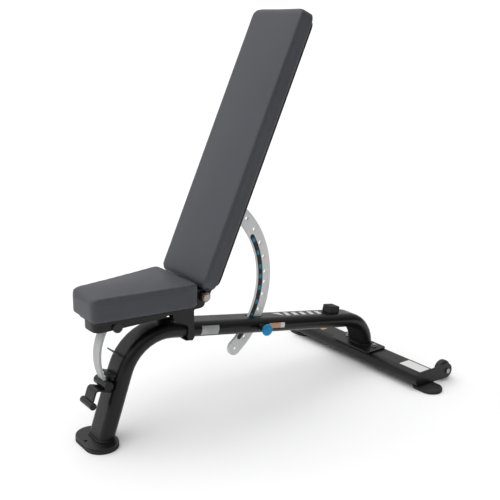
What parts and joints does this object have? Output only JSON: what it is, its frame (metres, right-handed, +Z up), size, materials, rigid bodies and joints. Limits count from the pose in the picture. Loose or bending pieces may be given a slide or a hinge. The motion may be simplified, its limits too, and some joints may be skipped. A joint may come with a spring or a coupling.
{
  "type": "adjustable weight bench",
  "caption": "Incline and decline weight bench: flat-oval tube frame, hinged padded back locked by a drilled arc plate, tilting seat on a strut and ladder, and rear rollers.",
  "frame": {"origin": "on the floor, under the middle of the bench's bounding box at rest", "axes": "+Z up, +X from the seat end towards the rear rollers, +Y across the bench towards the user's left when seated and facing -X"},
  "size_m": [1.301, 0.792, 1.2804],
  "materials": {
    "black_frame": "satin black powder coat",
    "pad_vinyl": "fine-grained bluish grey upholstery vinyl, sewn seams",
    "board_black": "plywood, sprayed black",
    "zinc_steel": "zinc-plated steel, satin",
    "silver_steel": "silver powder coat over steel, satin",
    "bronze_bush": "sintered bronze",
    "blue_knob": "moulded blue plastic, slight texture",
    "rubber_feet": "moulded black rubber",
    "roller_plastic": "moulded black nylon",
    "pin_cap": "black moulded cap on a steel pin"
  },
  "bodies": {
    "frame": {"front_leg_tube": "black_frame", "main_beam_tube": "black_frame", "crossbar_tube": "black_frame", "rear_saddle_plate": "black_frame", "rear_foot_near": "rubber_feet", "rear_foot_far": "rubber_feet", "end_bracket_near": "black_frame", "end_bracket_far": "black_frame", "wheel_bolt_near": "zinc_steel", "wheel_bolt_far": "zinc_steel", "saddle_bolt_near": "zinc_steel", "saddle_bolt_far": "zinc_steel", "front_foot_pad": "rubber_feet", "front_foot_plate": "black_frame", "upright_plate_near": "black_frame", "upright_plate_far": "black_frame", "upright_strap": "black_frame", "pivot_axle": "zinc_steel", "axle_cap_near": "zinc_steel", "axle_cap_far": "zinc_steel", "pop_pin_barrel": "black_frame", "pop_pin_spring": "zinc_steel", "bumper_block": "rubber_feet", "handle_plate": "black_frame", "handle_bar": "black_frame", "ladder_mid_shelf": "black_frame", "ladder_stop_rod": "black_frame", "ladder_top_shelf": "black_frame"},
    "back": {"back_pad": "pad_vinyl", "back_board": "board_black", "back_spine": "black_frame", "back_bracket_lower": "black_frame", "back_bracket_upper": "black_frame", "back_bolt_lower_near": "zinc_steel", "back_bolt_lower_far": "zinc_steel", "back_bolt_upper_near": "zinc_steel", "back_bolt_upper_far": "zinc_steel", "back_arm_near": "black_frame", "back_arm_far": "black_frame", "back_hub_near": "black_frame", "back_hub_far": "black_frame", "back_bush_near": "bronze_bush", "back_bush_far": "bronze_bush", "arc_plate": "silver_steel"},
    "seat": {"seat_pad": "pad_vinyl", "seat_board": "board_black", "seat_frame_tube": "black_frame", "seat_arm_near": "black_frame", "seat_arm_far": "black_frame", "seat_hub": "black_frame", "seat_bush": "bronze_bush", "strut_pin": "pin_cap"},
    "strut": {"strut_bar": "silver_steel", "t_bar": "black_frame"},
    "pop_pin": {"pop_pin": "zinc_steel", "pop_pin_knob": "blue_knob"},
    "wheel_near": {"wheel_near": "roller_plastic"},
    "wheel_far": {"wheel_far": "roller_plastic"}
  },
  "joints": [
    {"name": "back_recline", "type": "hinge", "parent": "frame", "child": "back", "pos_m": [-0.2565, 0, 0.427], "axis": [0, 1, 0], "range_deg": [-20, 75]},
    {"name": "seat_tilt", "type": "hinge", "parent": "frame", "child": "seat", "pos_m": [-0.2565, 0, 0.427], "axis": [0, 1, 0], "range_deg": [0, 20]},
    {"name": "strut_swing", "type": "hinge", "parent": "seat", "child": "strut", "pos_m": [-0.5365, 0, 0.375], "axis": [0, 1, 0], "range_deg": [-10, 0]},
    {"name": "pop_pin_pull", "type": "slide", "parent": "frame", "child": "pop_pin", "axis": [0, -1, 0], "range_m": [0, 0.012], "stiffness_N_per_m": 1500},
    {"name": "wheel_near_spin", "type": "hinge", "parent": "frame", "child": "wheel_near", "pos_m": [0.6175, -0.3095, 0.0361], "axis": [0, 1, 0], "continuous": true},
    {"name": "wheel_far_spin", "type": "hinge", "parent": "frame", "child": "wheel_far", "pos_m": [0.6175, 0.3095, 0.0361], "axis": [0, 1, 0], "continuous": true}
  ],
  "couplings": [
    {"joint": "strut_swing", "follows": "seat_tilt", "ratio": -0.5}
  ]
}
